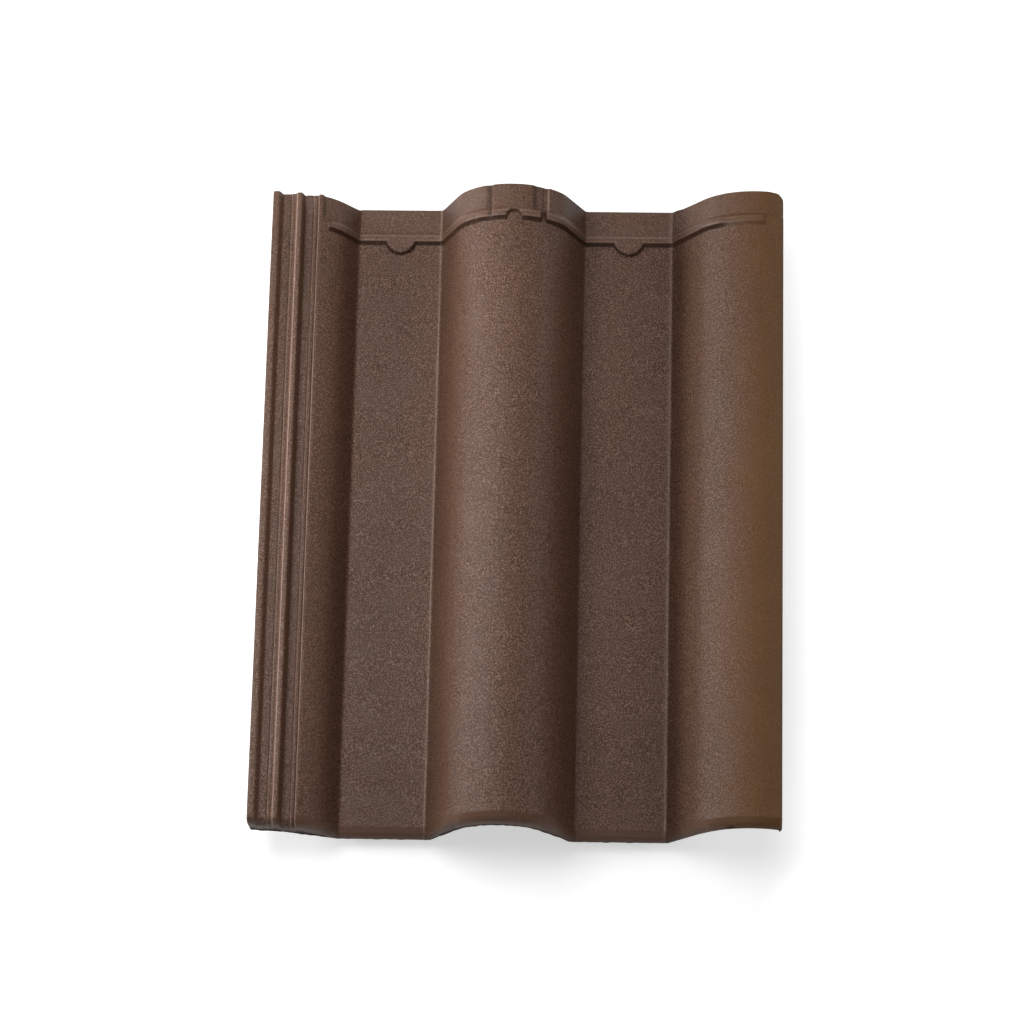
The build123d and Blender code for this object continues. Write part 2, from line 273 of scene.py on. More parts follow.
class StudioValues(bpy.types.PropertyGroup):
    """Camera, floor and lamps."""

    camera_place: spot_of((0.09072, -0.86124, 2.46389), "Camera place")
    camera_turn: bpy.props.FloatVectorProperty(
        name="Camera turn", description="How the camera is turned", size=3, subtype="EULER",
        default=(radians(19.5438), radians(1.8130), radians(1.3323)))
    lens: bpy.props.FloatProperty(
        name="Lens", description="Focal length on a sensor 36 mm wide", default=142.616, min=1, unit="CAMERA")
    floor_size: mm(9000, "Floor size", "Side of the pale floor")
    floor_colour: colour_of(0.82, 0.82, 0.82, "Floor", "Pale floor")
    floor_lift: share_of(0.525, "Floor lift", "Light that the camera alone sees on the floor", 2.0)
    side_lift: share_of(0.25, "Side lift", "More of that light on the floor beside the tile", 2.0)
    world_light: share_of(0.06, "World light", "Strength of the even light from all round", 2.0)


# Watts, place and two sides of each soft lamp
LAMPS = {
    "left": (3.9, (-0.705, 0.15, 0.275), (0.8, 0.2)),
    "overhead": (2.1, (-0.2, 0.18, 1.2), (0.6, 0.4)),
    "near": (1.6, (-0.3, 0.05, 0.5), (0.5, 0.2)),
    "right": (5.9, (1.21, 0.3, 0.73), (1.4, 0.6)),
    "head": (4.9, (0, 1.3, 1.0), (0.8, 0.8)),
    "tail": (2.3, (0, -1.3, 1.0), (0.8, 0.8)),
}
for lamp, (watts, place, sides) in LAMPS.items():
    label = lamp.capitalize() + " lamp "
    StudioValues.__annotations__.update({
        lamp + "_power": power_of(watts, label + "power"),
        lamp + "_place": spot_of(place, label + "place"),
        lamp + "_size": span_of(sides, label + "size"),
    })


# Values inside node trees

class Field:
    """A socket's value, or a plain number, in a node tree. Arithmetic on it adds the nodes for it."""

    def __init__(self, tree, socket):
        self.tree = tree
        self.socket = socket

    def math(self, operation, *others):
        """Adds one node of arithmetic, with this value first."""
        node = self.tree.nodes.new("ShaderNodeMath")
        node.operation = operation
        for place, value in zip(node.inputs, (self, *others)):
            put(self.tree, place, value)
        return Field(self.tree, node.outputs[0])

    def __add__(self, other):
        return self.math("ADD", other)

    def __sub__(self, other):
        return self.math("SUBTRACT", other)

    def __mul__(self, other):
        return self.math("MULTIPLY", other)

    def __truediv__(self, other):
        return self.math("DIVIDE", other)

    def complement(self):
        """One less this value."""
        return Field(self.tree, 1.0) - self

    def at_least(self, other):
        return self.math("MAXIMUM", other)

    def at_most(self, other):
        return self.math("MINIMUM", other)

    def root(self):
        return self.math("SQRT")

    def rise(self, start, end):
        """Nought up to start, one from end on, and an eased slope between them."""
        node = self.tree.nodes.new("ShaderNodeMapRange")
        node.interpolation_type = "SMOOTHSTEP"
        for place, value in zip(node.inputs, (self, start, end, 0.0, 1.0)):
            put(self.tree, place, value)
        return Field(self.tree, node.outputs[0])

    def fall(self, start, end):
        """One up to start and nought from end on."""
        return self.rise(start, end).complement()

    def between(self, low, high, slope):
        """One between low and high, with a slope outside each."""
        return self.rise(low - slope, low) * self.fall(high, high + slope)

    def past(self, place, half=STEEP):
        """Nought before a place and one after it, with a wall between them."""
        return self.rise(place - half, place + half)

    def within(self, low, high):
        """One from low to high, with a steep wall at each."""
        return self.past(low) * self.past(high).complement()

    def mixed(self, other, share):
        """This value where share is nought and the other where it is one."""
        return self + (other - self) * share


def put(tree, place, value):
    """Feeds an input from a field, a socket or a plain value."""
    if isinstance(value, Field):
        value = value.socket
    if isinstance(value, bpy.types.NodeSocket):
        tree.links.new(value, place)
    else:
        place.default_value = value


def part_of(tree, vector, axis):
    """One coordinate of a vector."""
    return Field(tree, add(tree, "ShaderNodeSeparateXYZ", {"Vector": vector}).outputs[axis])


def placed(name, data):
    """A new object in the scene."""
    item = bpy.data.objects.new(name, data)
    bpy.context.scene.collection.objects.link(item)
    return item


def emptied(data):
    """The node tree of a material or a world, with nothing in it."""
    data.use_nodes = True
    data.node_tree.nodes.clear()
    return data.node_tree


def add(tree, kind, values=None, **settings):
    """Adds a node, sets its properties and feeds its named inputs."""
    node = tree.nodes.new(kind)
    for name, value in settings.items():
        setattr(node, name, value)
    for name, value in (values or {}).items():
        put(tree, node.inputs[name], value)
    return node


# The section of the tile

def rounded(corners, arc_step, spacing):
    """Points along a line of (across, up, radius) corners, each turned into an arc of its radius."""
    points = [Vector(corners[0][:2])]
    for before, corner, after in zip(corners, corners[1:], corners[2:]):
        here = Vector(corner[:2])
        back = (Vector(before[:2]) - here).normalized()
        onward = (Vector(after[:2]) - here).normalized()
        half = back.angle(onward) / 2
        radius = corner[2]
        centre = here + (back + onward).normalized() * radius / sin(half)
        start = here + back * radius / tan(half) - centre
        turn = (pi - 2 * half) * (1 if back.x * onward.y - back.y * onward.x < 0 else -1)
        count = max(ceil(abs(turn) / arc_step), ceil(abs(turn) * radius / spacing))
        for i in range(count + 1):
            points.append(centre + start @ Matrix.Rotation(-turn * i / count, 2))
    points.append(Vector(corners[-1][:2]))
    return points


def roll_corners(rolls, side, below=False):
    """Corners of one roll or of the arch below it: two feet and, between them, the apex that is rounded off."""
    crest, half_width, rise, radius = (
        getattr(rolls, side + part) for part in ("_crest", "_half_width", "_rise", "_radius"))
    foot_height, foot_radius = 0, rolls.foot_radius
    if below:
        foot_height, foot_radius = -rolls.thickness, rolls.under_radius
        half_width = half_width - getattr(rolls, side + "_inset")
        rise = rise - getattr(rolls, side + "_wall") + rolls.thickness
        radius = radius - getattr(rolls, side + "_radius_step")
    to_centre = rise - radius
    flank = atan2(to_centre, half_width) + asin(radius / sqrt(half_width**2 + to_centre**2))
    apex = foot_height + half_width * tan(flank)
    return [
        (crest - half_width, foot_height, foot_radius),
        (crest, apex, radius),
        (crest + half_width, foot_height, foot_radius),
    ]


def heights(points, columns):
    """Heights of a line of points at each column."""
    across = np.array([point.x for point in points])
    up = np.array([point.y for point in points])
    return np.interp(columns, across, up)


def upper_points(rolls, lock, mesh):
    """The upper face of the section, from the lock's edge to the lap's edge."""
    corners = [(-rolls.width, 0, 0)]
    for side in ("left", "centre", "right"):
        corners += roll_corners(rolls, side)
    corners.append((2 * rolls.width, 0, 0))
    swell = rounded(corners, mesh.arc, mesh.across)
    lead = lock.width + 2 * MM
    join, lead_height = heights(swell, [lock.width, lead])
    edge = rolls.width - 2 * lock.edge_radius
    edge_height, end_height = heights(swell, [edge, rolls.width])
    rib_1_right = lock.rib_1_width
    rib_2_right = lock.rib_2_left + lock.rib_2_width
    run = lock.side_run
    step = lock.step_height
    lock_line = rounded([
        (0, 0, 0),
        (0, lock.rib_1_top, 1.2 * MM),
        (rib_1_right - 0.6 * run, lock.rib_1_top, 1.6 * MM),
        (rib_1_right + 0.8 * run, lock.groove_1_floor, 1.0 * MM),
        (lock.groove_1_step, lock.groove_1_floor, 0.5 * MM),
        (lock.groove_1_step + step, lock.groove_1_floor + step, 0.7 * MM),
        (lock.rib_2_left - 0.9 * run, lock.groove_1_floor + step, 0.4 * MM),
        (lock.rib_2_left + 0.5 * run, lock.rib_2_top, 1.2 * MM),
        (rib_2_right - 0.3 * run, lock.rib_2_top, 1.3 * MM),
        (rib_2_right + 0.8 * run, lock.groove_2_floor, 1.0 * MM),
        (lock.groove_2_step, lock.groove_2_floor, 0.5 * MM),
        (lock.groove_2_step + step, lock.groove_2_floor + step, 0.7 * MM),
        (lock.width - 0.8 * run, lock.groove_2_floor + step, 0.4 * MM),
        (lock.width, join - 0.6 * MM, 0.5 * MM),
        (lead, lead_height, 0),
    ], mesh.arc, mesh.across)
    lap_line = rounded([
        (edge, edge_height, 0),
        (rolls.width, end_height, lock.edge_radius),
        (rolls.width, 0, 0),
    ], mesh.arc, mesh.across)
    middle = [point for point in swell if lead + HAIR < point.x < edge - HAIR]
    return lock_line[1:] + middle + lap_line[:-1]


def under_points(rolls, lock, mesh, with_tongue):
    """The underside of the section, with or without the tongue that stops short of the tail."""
    floor = -rolls.thickness
    left_foot = rolls.left_crest + rolls.left_half_width
    corners = [
        (0, lock.rib_1_top, 0),
        (0, lock.edge_underside, 1.2 * MM),
        (lock.bend_place, lock.bend_height, 5 * MM),
        (left_foot, floor, rolls.under_radius),
    ]
    for side in ("centre", "right"):
        corners += roll_corners(rolls, side, below=True)
    corners.append((2 * rolls.width, floor, 0))
    swell = rounded(corners, mesh.arc, mesh.across)[1:]
    start_height = heights(swell, [lock.lap_start])[0]
    half = lock.wall_run / 2
    small = 0.5 * MM
    hollow = [
        (lock.lap_start, start_height, 0),
        (lock.lap_start + lock.wall_run, lock.lap_start_height, small),
        (lock.lap_slope_end, lock.lap_roof, small),
    ]
    if with_tongue:
        hollow += [
            (lock.tongue_left - half, lock.lap_roof, small),
            (lock.tongue_left + half, lock.tongue_height, small),
            (lock.tongue_right - half, lock.tongue_height, small),
            (lock.tongue_right + half, lock.lap_roof, small),
        ]
    hollow += [
        (lock.edge_left, lock.lap_roof, small),
        (lock.edge_left + lock.edge_run, lock.edge_height, small),
        (rolls.width, lock.edge_height, 1.0 * MM),
        (rolls.width, rolls.centre_rise, 0),
    ]
    lap = rounded(hollow, mesh.arc, mesh.across)[:-1]
    return [point for point in swell if point.x < lock.lap_start - HAIR] + lap


def highlight_shares(points, columns, highlight_radius, start):
    """How much painted highlight each column gets: one on sharp edges that face left, towards the left lamps, and
    nought left of the start.
    """
    turns = []
    for before, here, after in zip(points, points[1:], points[2:]):
        back, onward = here - before, after - here
        turn = back.angle_signed(onward) if back.length and onward.length else 0
        bend = turn * 2 / max(back.length + onward.length, HAIR)
        faces_left = min(max(2 * back.y / max(back.length, HAIR), 0), 1)
        share = min(max(bend * highlight_radius, 0), 1) * faces_left
        turns.append((here.x, share if here.x > start else 0))
    return np.interp(columns, [turn[0] for turn in turns], [turn[1] for turn in turns])


def both_sides(edges):
    """The foot and the head of the upright wall at each edge."""
    return {edge + side for edge in edges for side in (-STEEP, STEEP)}


def divided(marks, widest):
    """Sorted places that keep every mark, with none further apart than the widest step near it."""
    marks = sorted(marks)
    places = [marks[0]]
    for mark in marks[1:]:
        gap = mark - places[-1]
        if gap < 2 * HAIR:
            continue
        count = ceil(gap / widest(places[-1] + gap / 2) - 0.01)
        start = places[-1]
        places += [start + gap * (i + 1) / count for i in range(count)]
    return places


def column_places(rolls, relief, mesh, *lines):
    """Where the columns of points stand across the tile."""
    marks = {0.0, rolls.width}
    for line in lines:
        marks |= {point.x for point in line}
    lobes = (relief.lobe_left, relief.lobe_right)
    nibs = [lobe + side for lobe in lobes for side in (-relief.nib_half_width, relief.nib_half_width)]
    bars = [foot + side for foot in pan_feet(rolls) for side in (-relief.bar_margin, relief.bar_margin)]
    marks |= both_sides(nibs + bars)
    # Middle and reach of all that needs fine steps
    fine = [(lobe, relief.lobe_radius + 2 * relief.lobe_slope) for lobe in lobes]
    fine += [
        (relief.notch_place, relief.notch_radius + 2 * MM),
        ((relief.groove_left + relief.groove_right) / 2, relief.groove_right - relief.groove_left),
        ((relief.channel_left + relief.channel_right) / 2, relief.channel_slope * 2.4),
        (relief.recess_left, 2 * MM),
    ]

    def widest(place):
        near = any(abs(place - middle) < reach for middle, reach in fine)
        return mesh.fine if near else mesh.across

    for middle, reach in fine:
        marks |= {middle - reach, middle + reach}
    return divided(marks, widest)


def pan_feet(rolls):
    """Where the flats of the two pans begin and end."""
    return (
        rolls.left_crest + rolls.left_half_width,
        rolls.centre_crest - rolls.centre_half_width,
        rolls.centre_crest + rolls.centre_half_width,
        rolls.right_crest - rolls.right_half_width,
    )


def station_places(rolls, lock, relief, mesh):
    """Where the rows of points stand along the tile, from the tail to the head."""
    length = rolls.length
    marks = {0.0, length}
    marks |= {relief.nose_radius * (1 - cos(pi / 2 * i / 7)) for i in range(8)}
    marks |= {relief.nose_length + shift * MM for shift in (-0.4, 0.4)}
    marks |= {relief.lower_radius * share for share in (0.12, 0.35, 0.65, 1.0)}
    for radius in (relief.head_radius, relief.lock_head_radius):
        marks |= {length - radius * (1 - cos(pi / 2 * i / 4)) for i in range(5)}
    edges = [relief.nib_place, relief.nib_place + relief.nib_sole, relief.nib_place + relief.nib_root]
    for i in range(2):
        bar = relief.bar_place + i * relief.bar_pitch
        edges += [bar, bar + relief.bar_length]
    edges += [lock.tongue_stop, length - lock.stop_length, length - lock.stop_length / 2]
    marks |= both_sides(edges)
    low = relief.rib_foot - relief.lobe_radius
    high = relief.rib_back + 2 * relief.rib_back_slope
    marks |= {low, high}

    def widest(place):
        if low < place < high:
            return mesh.fine
        return 2 * mesh.fine if place > high else mesh.along

    return divided(marks, widest)


# The tile's node tree

def tree_inputs(tree, sockets):
    """Adds named inputs and gives back their sockets."""
    for name, kind in sockets:
        tree.interface.new_socket(name, in_out="INPUT", socket_type=kind)
    node = tree.nodes.new("NodeGroupInput")
    return {name: node.outputs[name] for name, kind in sockets}


def tile_tree(sizes):
    """A closed slab whose two faces follow the section, with the relief raised and sunk on them."""
    tree = bpy.data.node_groups.new("Swept Tile", "GeometryNodeTree")
    tree.interface.new_socket("Geometry", in_out="OUTPUT", socket_type="NodeSocketGeometry")
    sockets = [("Section", "NodeSocketGeometry"), ("Stations", "NodeSocketObject")]
    sockets += [(name, "NodeSocketInt") for name in ("Columns", "Rows", "Layers", "Seed")]
    sockets += [("Material", "NodeSocketMaterial")]
    sockets += [(name, "NodeSocketFloat") for name in sizes]
    given = tree_inputs(tree, sockets)
    size = {name: Field(tree, given[name]) for name in sizes}

    slab = add(tree, "GeometryNodeMeshCube", {
        "Size": (1, 1, 1), "Vertices X": given["Columns"], "Vertices Y": given["Rows"],
        "Vertices Z": given["Layers"]})
    place = add(tree, "GeometryNodeInputPosition").outputs[0]
    column = ((part_of(tree, place, "X") + 0.5) * (Field(tree, given["Columns"]) - 1)).math("ROUND")
    row = ((part_of(tree, place, "Y") + 0.5) * (Field(tree, given["Rows"]) - 1)).math("ROUND")
    layer = part_of(tree, place, "Z") + 0.5
    pans = (("Left Lobe", "Left Pan Start", "Left Pan End"), ("Right Lobe", "Right Pan Start", "Right Pan End"))

    def sampled(geometry, value, index, kind="FLOAT"):
        return add(tree, "GeometryNodeSampleIndex", {"Geometry": geometry, "Value": value, "Index": index},
                   data_type=kind, domain="POINT", clamp=True).outputs[0]

    def section_value(name, index):
        attribute = add(tree, "GeometryNodeInputNamedAttribute", {"Name": name}, data_type="FLOAT")
        return Field(tree, sampled(given["Section"], attribute.outputs["Attribute"], index))

    here = sampled(given["Section"], place, column, "FLOAT_VECTOR")
    after = sampled(given["Section"], place, column + 1, "FLOAT_VECTOR")
    before = sampled(given["Section"], place, column - 1, "FLOAT_VECTOR")
    stations = add(tree, "GeometryNodeObjectInfo", {"Object": given["Stations"]})
    across = part_of(tree, here, "X")
    along = part_of(tree, sampled(stations.outputs["Geometry"], place, row, "FLOAT_VECTOR"), "Y")
    top = part_of(tree, here, "Z")

    # How much further up a height reaches when it is measured square to the section's slope here
    rise = part_of(tree, after, "Z") - part_of(tree, before, "Z")
    run = (part_of(tree, after, "X") - part_of(tree, before, "X")).at_least(HAIR)
    slope = rise / run
    lean = (slope * slope + 1).root()
    relief_lean, nose_lean = lean.at_most(1.75), lean.at_most(1.4)

    tongue = along.past(size["Tongue Start"])
    under = section_value("tail_under", column).mixed(section_value("under", column), tongue)

    # Head rib with its lobes, its notch and its gap, up to where its back falls towards the head
    tailward = along.fall(size["Rib Back"], size["Rib Back"] + size["Rib Back Slope"])
    ends = across.between(size["Rib Left"], size["Rib Right"], 1.2 * MM)
    fade = across.past(size["Rib Fade"], 4 * MM).complement() * 0.6 + 0.4
    band = along.rise(size["Rib Foot"], size["Rib Foot"] + size["Rib Slope"]) * ends

    def distance(x, y):
        aside = across - x
        ahead = along - y
        return (aside * aside + ahead * ahead).root()

    def lobe(name):
        reach = distance(size[name], size["Lobe Place"])
        return reach.fall(size["Lobe Radius"], size["Lobe Radius"] + size["Lobe Slope"])

    lobes = lobe("Left Lobe").at_least(lobe("Right Lobe"))
    band = band * distance(size["Notch Place"], size["Rib Foot"] + 1.6 * MM).past(size["Notch Radius"], 0.7 * MM)
    gap = across.between(size["Gap Left"], size["Channel Right"], 0.7 * MM)
    band = band * (gap * tailward).complement()
    shape = band.at_least(lobes)
    # Painted highlight along the top edges of the rib and its lobes, and painted shade on their slopes
    pale = (shape * tailward).between(0.8, 0.92, 0.1) * 0.5
    painted_shade = shape.between(0.06, 0.84, 0.06) * tailward * fade * 0.82
    shape = (band * fade).at_least(lobes)

    # The lowered crowns between the rib and the head, and the marks on the crest
    ahead = along.rise(size["Rib Back"] + 0.4 * MM, size["Rib Back"] + size["Rib Back Slope"] + 0.6 * MM)
    left_crown = across.between(size["Recess Left"], size["Left Pan Start"], 0.9 * MM)
    right_crown = across.rise(size["Right Pan End"] + MM, size["Right Pan End"] + 7 * MM)
    sunk = (left_crown / size["Left Rise"] + right_crown / size["Right Rise"]) * top * size["Recess Depth"]
    level = (left_crown + right_crown).complement() * ends * size["Head Level"]
    raised = shape * size["Rib Height"].mixed(level, tailward.complement())
    channel = across.between(size["Channel Left"], size["Channel Right"], size["Channel Slope"])
    sunk = sunk + channel * size["Channel Depth"] + gap * size["Gap Depth"]
    groove = across.rise(size["Groove Left"], size["Groove Floor"])
    groove = groove * across.fall(size["Groove Floor"] + 0.3 * MM, size["Groove Right"])
    over_rib = along.rise(size["Rib Foot"] + MM, size["Rib Foot"] + size["Rib Slope"])
    raised = raised - sunk * ahead - groove * size["Groove Depth"] * over_rib
    # Painted shade on the walls of the channel, the gap and the recess and in the crest's groove, and a painted
    # highlight along the channel's far edge
    wall = across.between(size["Channel Left"] - size["Channel Slope"], size["Channel Left"], 0.5 * MM)
    for name, soft in (("Gap Left", 0.4 * MM), ("Recess Left", 0.5 * MM)):
        wall = wall.at_least(across.between(size[name], size[name] + 0.6 * MM, soft))
    painted_shade = painted_shade.at_least((wall * ahead).at_least(groove * over_rib) * 0.5)
    far_wall = size["Channel Right"] + size["Channel Slope"] * 0.5
    pale = pale.at_least(across.between(far_wall, far_wall + 0.7 * MM, 0.5 * MM) * ahead * 0.7)

    # Painted shade in the feet of the rolls, up their flanks from near to far, and a painted highlight in a line
    # at each pan's end
    near, far = 4 * MM, 13 * MM
    for (_, start, end), depth in zip(pans, (0.36, 0.52)):
        foot = across.rise(size[start] - far, size[start] - near) * across.fall(size[start], size[start] + MM)
        painted_shade = painted_shade.at_least(foot * 0.36)
        foot = across.rise(size[end] - MM, size[end]) * across.fall(size[end] + near, size[end] + far)
        painted_shade = painted_shade.at_least(foot * depth)
        pale = pale.at_least(across.between(size[end] - 1.4 * MM, size[end] - 0.8 * MM, 0.5 * MM) * 0.4)

    # Rounded nose along the tail, and a slight rounding along the head
    def rounding(radius, reach):
        """How far a rounded edge has fallen at this reach from the end."""
        left = (radius - reach).at_least(0.0)
        return radius - (radius * radius - left * left).at_least(0.0).root()

    to_head = size["Length"] - along
    on_rolls = across.rise(size["Groove Stop Right"] - MM, size["Groove Stop Right"] + 3 * MM)
    nose = (size["Nose Length"] - along).at_least(0.0) * size["Nose Lean"]
    nose = nose + rounding(size["Nose Radius"], along)
    lock_nose = (size["Lock Nose Radius"] - along).at_least(0.0) * 0.8
    nose = (lock_nose + rounding(size["Lock Nose Radius"], along)).mixed(nose, on_rolls)
    raised = raised - rounding(size["Lock Head Radius"], to_head).mixed(
        rounding(size["Head Radius"], to_head), on_rolls)
    stop = across.between(size["Groove Stop Left"], size["Groove Stop Right"], 0.4 * MM)
    stop = stop * to_head.fall(size["Groove Stop Length"] * 0.1, size["Groove Stop Length"] * 1.1)
    filled = top.at_least(size["Groove Stop Top"])
    top = top.mixed(filled, stop) + raised * relief_lean - nose * nose_lean

    # Hanging nibs and weather bars
    nib_ramp = (along - size["Nib Place"] - size["Nib Sole"]) / (size["Nib Root"] - size["Nib Sole"])
    nib = nib_ramp.at_least(0.0).at_most(1.0).complement() * along.past(size["Nib Place"]) * size["Nib Depth"]
    first = size["Bar Place"]
    second = first + size["Bar Pitch"]
    bars = along.within(first, first + size["Bar Length"]) + along.within(second, second + size["Bar Length"])

    def hung_under(lobe, start, end):
        aside = (across - size[lobe]).math("ABSOLUTE")
        span = across.within(size[start] + size["Bar Margin"], size[end] - size["Bar Margin"])
        return nib * aside.past(size["Nib Half Width"]).complement() + bars * span * size["Bar Depth"]

    hung = hung_under(*pans[0]) + hung_under(*pans[1])

    # Unevenness, the same each time for one seed
    spread = add(tree, "ShaderNodeCombineXYZ", {"X": across, "Y": along, "Z": layer * size["Thickness"]})
    shift = Field(tree, given["Seed"]) * 0.37

    def noise(per_metre, detail):
        node = add(tree, "ShaderNodeTexNoise", {
            "Vector": spread.outputs[0], "W": shift, "Scale": per_metre, "Detail": detail}, noise_dimensions="4D")
        return Field(tree, node.outputs[0])

    lowered = noise(28.0, 2.0) * size["Wave"]
    ragged = noise(210.0, 1.0) * size["Scallop"] * along.fall(0.0, 3.0 * MM)
    frayed = along + ragged * layer.fall(0.1, 0.7)
    lower = rounding(size["Lower Radius"], along) + rounding(size["Lower Radius"], to_head)
    height = (under - hung + lower + ragged).mixed(top - lowered, layer)

    # Rounded corners in plan
    def near_right(corner):
        return ((across - size["Width"]) / (size[corner] * 2.0) + 1).at_least(0.0)

    near_left = (across / (size["Tail Corner"] * 2.0)).complement().at_least(0.0)
    pull = rounding(size["Tail Corner"], along)
    plan = across - rounding(size["Head Corner"], to_head) * near_right("Head Corner")
    plan = plan - pull * near_right("Tail Corner") + pull * near_left

    # Turned to stand on its soles, which the floor cuts level
    cosine = size["Rest Angle"].math("COSINE")
    sine = size["Rest Angle"].math("SINE")
    stood = add(tree, "ShaderNodeCombineXYZ", {
        "X": plan - size["Width"] * 0.5,
        "Y": frayed * cosine - height * sine + size["Rest Shift"],
        "Z": (frayed * sine + height * cosine - size["Rest Height"]).at_least(0.0)})

    # What the material needs to know at each point
    nose_band = along.past(size["Nose Length"], MM).complement() * on_rolls
    upper_face = layer.rise(0.8, 1.0)
    # Painted shade along the lower edge of the tail face
    lower_edge_shade = layer.fall(0.1, 0.6) * along.fall(0.5 * MM, 3 * MM)
    kept = {
        COATING: layer.rise(0.25, 0.8),
        SMOOTHNESS: along.past(size["Rib Foot"], 1.5 * MM).at_least(nose_band),
        NOSE: nose_band,
        # Painted highlight on left-facing edges and lit rims, and painted shade, for the coat's colour
        PAINTED_HIGHLIGHT: section_value("edge", column).at_least(pale) * upper_face,
        PAINTED_SHADE: lower_edge_shade.at_least(painted_shade * upper_face),
    }
    mesh = slab.outputs["Mesh"]
    for name, value in kept.items():
        mesh = add(tree, "GeometryNodeStoreNamedAttribute", {"Geometry": mesh, "Name": name, "Value": value},
                   data_type="FLOAT", domain="POINT").outputs[0]
    moved = add(tree, "GeometryNodeSetPosition", {"Geometry": mesh, "Position": stood.outputs[0]})
    real = add(tree, "GeometryNodeRealizeInstances", {"Geometry": moved.outputs[0]})
    dressed = add(tree, "GeometryNodeSetMaterial", {"Geometry": real.outputs[0], "Material": given["Material"]})
    add(tree, "NodeGroupOutput", {"Geometry": dressed.outputs[0]})
    return tree


def point_object(name, points, attributes=None):
    """An object of loose points, with a number on each for every attribute."""
    mesh = bpy.data.meshes.new(name)
    mesh.from_pydata([tuple(point) for point in points], [], [])
    for label, values in (attributes or {}).items():
        layer = mesh.attributes.new(label, "FLOAT", "POINT")
        layer.data.foreach_set("value", np.array(values, dtype=np.float32))
    return placed(name, mesh)


def set_inputs(modifier, values):
    """Sets a node modifier's inputs, found by their names."""
    for socket in modifier.node_group.interface.items_tree:
        if socket.in_out == "INPUT" and socket.name in values:
            modifier[socket.identifier] = values[socket.name]


def plain_copy(item, name):
    """A new object with the mesh that all of an object's modifiers give."""
    bpy.context.view_layer.update()
    evaluated = item.evaluated_get(bpy.context.evaluated_depsgraph_get())
    mesh = bpy.data.meshes.new_from_object(evaluated)
    mesh.name = name
    return placed(name, mesh)


def rest_place(rolls, relief):
    """The angle, the height and the shift along the floor at which the tile lies unheld."""
    drop = (relief.nib_depth - relief.bar_depth)
    angle = atan2(drop, relief.nib_place - relief.bar_place)
    sole = rolls.thickness + relief.nib_depth - MM
    height = relief.nib_place * sin(angle) - sole * cos(angle)
    far_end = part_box(NODE)[1][1]
    shift = far_end - (rolls.length * cos(angle) + rolls.thickness * sin(angle))
    return angle, height, shift


# Materials

def coated_concrete(finish):
    """Semi-matt brown coating with a pebbled skin over pigmented concrete, bare underneath."""
    material = bpy.data.materials.new("coated concrete")
    tree = emptied(material)
    place = add(tree, "ShaderNodeTexCoord").outputs["Object"]

    def noise(size, detail, roughness=0.5, distortion=0.0, vector=place):
        node = add(tree, "ShaderNodeTexNoise", {
            "Vector": vector, "Scale": 1 / size, "Detail": detail, "Roughness": roughness,
            "Distortion": distortion})
        return Field(tree, node.outputs[0])

    def attribute(name):
        return Field(tree, add(tree, "ShaderNodeAttribute", attribute_name=name).outputs["Fac"])

    def blend(first, second, share, kind="MIX"):
        node = add(tree, "ShaderNodeMix", data_type="RGBA", blend_type=kind)
        put(tree, node.inputs["Factor"], share)
        for name, value in (("A", first), ("B", second)):
            place = next(i for i in node.inputs if i.name == name and i.type == "RGBA")
            put(tree, place, value if not isinstance(value, tuple) else (*value, 1))
        return next(o for o in node.outputs if o.type == "RGBA")

    # Bumps of the skin with crumbs on them, then patches and clouds of tone
    patch_size, cloud_size = 14 * MM, 90 * MM
    skin = noise(finish.grain_size, 2.0, 0.45, 0.55).rise(0.41, 0.69)
    crumbs = noise(finish.grain_size * 0.4, 1.0)
    patches = noise(patch_size, 3.0)
    clouds = noise(cloud_size, 2.0)
    coated = attribute(COATING)
    smooth = attribute(SMOOTHNESS)
    nose = attribute(NOSE)
    # Painted highlight and painted shade, handed on by the node tree
    edge = attribute(PAINTED_HIGHLIGHT)
    painted_shade = attribute(PAINTED_SHADE)
    coated = (coated + (patches - 0.5) * 0.5).rise(0.35, 0.6)
    grain = (smooth * -0.3 + 0.8) + (patches - 0.5) * 0.9 - nose * 0.3

    # The coating turns warmer and duller over the cover lap
    warmth = (part_of(tree, place, "X") + (clouds - 0.5) * 0.03).rise(0.113, 0.157)
    relief = (skin - 0.38) * grain
    pale = relief + 0.48 + nose * 0.1
    coat = blend(tuple(finish.coat_deep), tuple(finish.coat), pale)
    coat = blend(coat, tuple(finish.coat_warm), warmth * 0.85)
    # Painted highlight on edges, away from the lap
    coat = blend(coat, tuple(finish.coat_highlight), edge * warmth.complement() * 0.8)
    bare = blend(tuple(finish.bare_deep), tuple(finish.bare), skin * 0.6 + patches * 0.5)
    colour = blend(bare, coat, coated)
    # Random tone from clouds and patches, darkened by the painted shade
    tone = (clouds - 0.5) * 0.30 + (patches - 0.5) * 0.22 + 1.0 - painted_shade * 0.75
    tint = add(tree, "ShaderNodeCombineColor", {"Red": tone, "Green": tone, "Blue": tone})
    colour = blend(colour, tint.outputs[0], 1.0, "MULTIPLY")

    sleek = finish.roughness + 0.05 - finish.bare_roughness
    roughness = (skin * -0.08 + sleek - edge * 0.05) * coated + finish.bare_roughness
    # Less sheen in the painted shade and towards the lap
    gloss = (relief * 0.6 + 0.48) * (warmth * -0.45 + 1.0) * (painted_shade * -0.7 + 1.0)

    # Crumbs show less than the bumps they sit on
    height = (skin * 0.8 + crumbs * 0.35) * grain
    bump = add(tree, "ShaderNodeBump", {"Strength": 1.0, "Distance": finish.grain_height, "Height": height})
    shader = add(tree, "ShaderNodeBsdfPrincipled", {
        "Base Color": colour, "Roughness": roughness, "Normal": bump.outputs[0], "Specular IOR Level": gloss})
    add(tree, "ShaderNodeOutputMaterial", {"Surface": shader.outputs[0]})
    return material


